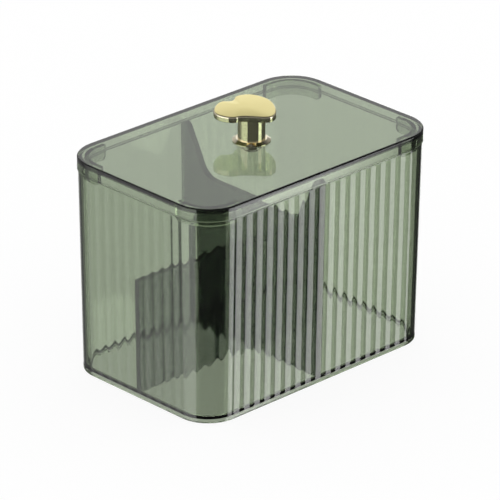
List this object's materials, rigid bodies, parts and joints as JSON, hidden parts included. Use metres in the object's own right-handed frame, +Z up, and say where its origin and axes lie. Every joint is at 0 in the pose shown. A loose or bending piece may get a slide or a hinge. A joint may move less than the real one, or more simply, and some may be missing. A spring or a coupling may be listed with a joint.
{
  "type": "cotton swab dispenser",
  "caption": "Clear tinted box with fluted walls, two dividers and a lift-off lid with a heart-shaped knob, for cotton swabs and pads.",
  "frame": {"origin": "under the middle of the box's foot, on the surface it stands on", "axes": "+X along the box's length, towards the single large compartment; -Y is the front wall; +Z up, towards the knob"},
  "size_m": [0.1408, 0.0922, 0.1161],
  "materials": {
    "tinted_clear_box": "clear grey-green tint, shallow flutes outside, smooth inside",
    "tinted_clear_divider": "clear grey-green tint, polished faces",
    "tinted_clear_lid": "clear grey-green tint, high gloss",
    "polished_gold": "mirror polished, pale gold plate",
    "satin_gold": "satin top with a polished edge, pale gold plate",
    "screw_steel": "plain zinc-plated steel"
  },
  "bodies": {
    "box": {"box_body": "tinted_clear_box", "cross_divider": "tinted_clear_divider", "lengthwise_divider": "tinted_clear_divider"},
    "lid_and_knob": {"lid": "tinted_clear_lid", "knob_collar": "polished_gold", "knob_stem": "polished_gold", "knob_head": "satin_gold", "knob_screw": "screw_steel"}
  },
  "joints": [
    {"name": "lid_lift", "type": "slide", "parent": "box", "child": "lid_and_knob", "axis": [0, 0, 1], "range_m": [0, 0.12]}
  ]
}
